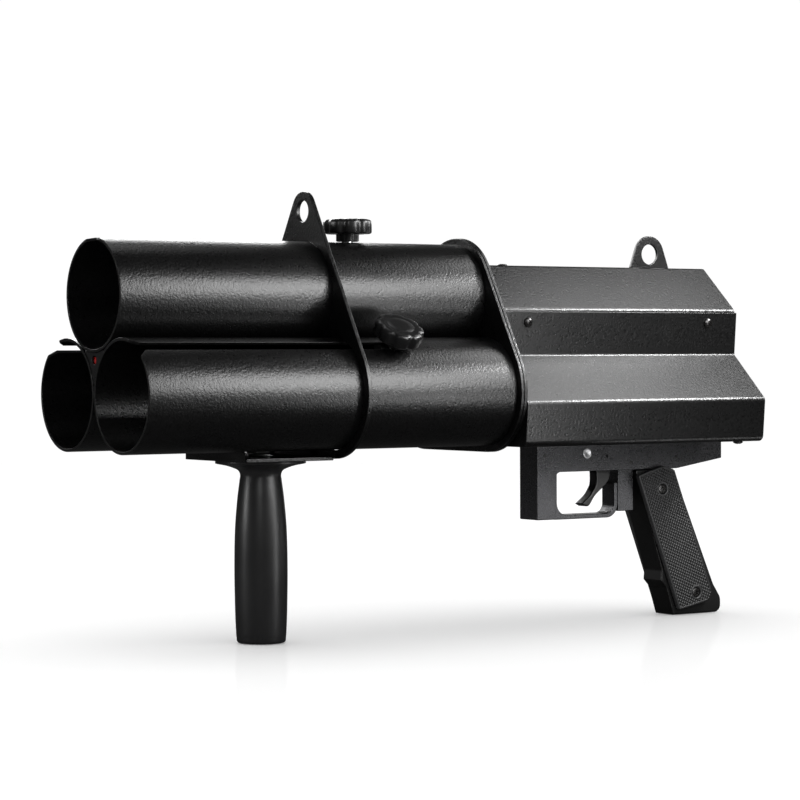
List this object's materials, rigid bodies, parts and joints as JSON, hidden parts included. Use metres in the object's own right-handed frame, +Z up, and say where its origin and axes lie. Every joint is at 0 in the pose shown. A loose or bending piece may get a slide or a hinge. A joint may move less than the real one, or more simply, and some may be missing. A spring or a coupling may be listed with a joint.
{
  "type": "confetti blower",
  "caption": "Hand-held confetti launcher with slotted tubes in a triangular cluster, bent-sheet body, front handle, pistol grip, trigger and clamp knobs.",
  "frame": {"origin": "on the ground plane that the two feet stand on, under the middle of the bounding box", "axes": "+X along the tubes from the muzzles to the grip, +Y towards the blower's right side, +Z up"},
  "size_m": [0.5294, 0.1646, 0.3086],
  "materials": {
    "black_powder_coat": "black fine-texture powder coat over aluminium",
    "black_moulding": "black fine-textured moulding",
    "grip_panel": "black checkered grip panel",
    "black_screw": "black oxide, semi-gloss",
    "zinc_steel": "zinc-plated",
    "bare_aluminium": "turned, satin",
    "pointer_lens": "dark red window",
    "circuit_board": "green solder mask",
    "battery_wrap": "shrink wrap",
    "socket_moulding": "black moulding, satin"
  },
  "bodies": {
    "frame": {"barrel_top": "black_powder_coat", "barrel_left": "black_powder_coat", "barrel_right": "black_powder_coat", "clamp_nut_top": "zinc_steel", "clamp_nut_left": "zinc_steel", "clamp_nut_right": "zinc_steel", "breech_socket_top": "socket_moulding", "breech_socket_left": "socket_moulding", "breech_socket_right": "socket_moulding", "muzzle_web": "black_powder_coat", "laser_lens": "pointer_lens", "laser_module": "bare_aluminium", "carrier_plate": "black_powder_coat", "breech_plate": "black_powder_coat", "body_front_plate": "black_powder_coat", "chassis": "black_powder_coat", "roof_cover": "black_powder_coat", "rear_cover": "black_powder_coat", "roof_hanging_eye": "black_powder_coat", "cover_screw_left_front": "black_screw", "cover_screw_right_front": "black_screw", "cover_screw_left_rear": "black_screw", "cover_screw_right_rear": "black_screw", "roof_screw_front": "black_screw", "roof_screw_rear": "black_screw", "base_screw_left": "black_screw", "base_screw_right": "black_screw", "battery_pack": "battery_wrap", "control_board": "circuit_board", "handle_bracket": "black_powder_coat", "side_handle": "black_moulding", "handle_stud": "zinc_steel", "handle_washer": "zinc_steel", "handle_nut": "zinc_steel", "trigger_frame": "black_powder_coat", "trigger_guard": "black_powder_coat", "trigger_pin": "zinc_steel", "fire_switch": "socket_moulding", "grip_core": "black_moulding", "grip_panel_left": "grip_panel", "grip_panel_right": "grip_panel", "grip_screw_left_upper": "black_screw", "grip_screw_left_lower": "black_screw", "grip_screw_right_upper": "black_screw", "grip_screw_right_lower": "black_screw"},
    "trigger": {"trigger": "black_powder_coat", "trigger_spring": "zinc_steel"},
    "switch_plunger": {"fire_switch_plunger": "socket_moulding"},
    "safety_button": {"safety_button": "bare_aluminium"},
    "clamp_pad_top": {"clamp_pad_top": "socket_moulding"},
    "knob_top": {"knob_top": "black_moulding", "knob_stud_top": "zinc_steel"},
    "clamp_pad_left": {"clamp_pad_left": "socket_moulding"},
    "knob_left": {"knob_left": "black_moulding", "knob_stud_left": "zinc_steel"},
    "clamp_pad_right": {"clamp_pad_right": "socket_moulding"},
    "knob_right": {"knob_right": "black_moulding", "knob_stud_right": "zinc_steel"}
  },
  "joints": [
    {"name": "trigger_pull", "type": "hinge", "parent": "frame", "child": "trigger", "pos_m": [0.1547, 0, 0.1207], "axis": [0, -1, 0], "range_deg": [0, 12], "stiffness_Nm_per_rad": 0.6, "springref_deg": -17.19},
    {"name": "fire_switch_press", "type": "slide", "parent": "frame", "child": "switch_plunger", "axis": [1, 0, 0], "range_m": [0, 0.0016]},
    {"name": "safety_slide", "type": "slide", "parent": "frame", "child": "safety_button", "axis": [0, -1, 0], "range_m": [0, 0.003]},
    {"name": "knob_top_travel", "type": "slide", "parent": "frame", "child": "clamp_pad_top", "axis": [0, 0, 1], "range_m": [0, 0.00187]},
    {"name": "knob_top_turn", "type": "hinge", "parent": "clamp_pad_top", "child": "knob_top", "pos_m": [-0.0657, 0, 0.28523], "axis": [0, 0, 1], "range_deg": [0, 541]},
    {"name": "knob_left_travel", "type": "slide", "parent": "frame", "child": "clamp_pad_left", "axis": [0, -0.515, 0.8572], "range_m": [0, 0.00187]},
    {"name": "knob_left_turn", "type": "hinge", "parent": "clamp_pad_left", "child": "knob_left", "pos_m": [-0.0657, -0.06354, 0.21189], "axis": [0, -0.515, 0.8572], "range_deg": [0, 541]},
    {"name": "knob_right_travel", "type": "slide", "parent": "frame", "child": "clamp_pad_right", "axis": [0, 0.515, 0.8572], "range_m": [0, 0.00187]},
    {"name": "knob_right_turn", "type": "hinge", "parent": "clamp_pad_right", "child": "knob_right", "pos_m": [-0.0657, 0.06354, 0.21189], "axis": [0, 0.515, 0.8572], "range_deg": [0, 541]}
  ],
  "couplings": [
    {"joint": "fire_switch_press", "follows": "trigger_pull", "m_per_rad": 0.0075},
    {"joint": "knob_top_turn", "follows": "knob_top_travel", "rad_per_m": 5026.5},
    {"joint": "knob_left_turn", "follows": "knob_left_travel", "rad_per_m": 5026.5},
    {"joint": "knob_right_turn", "follows": "knob_right_travel", "rad_per_m": 5026.5}
  ]
}
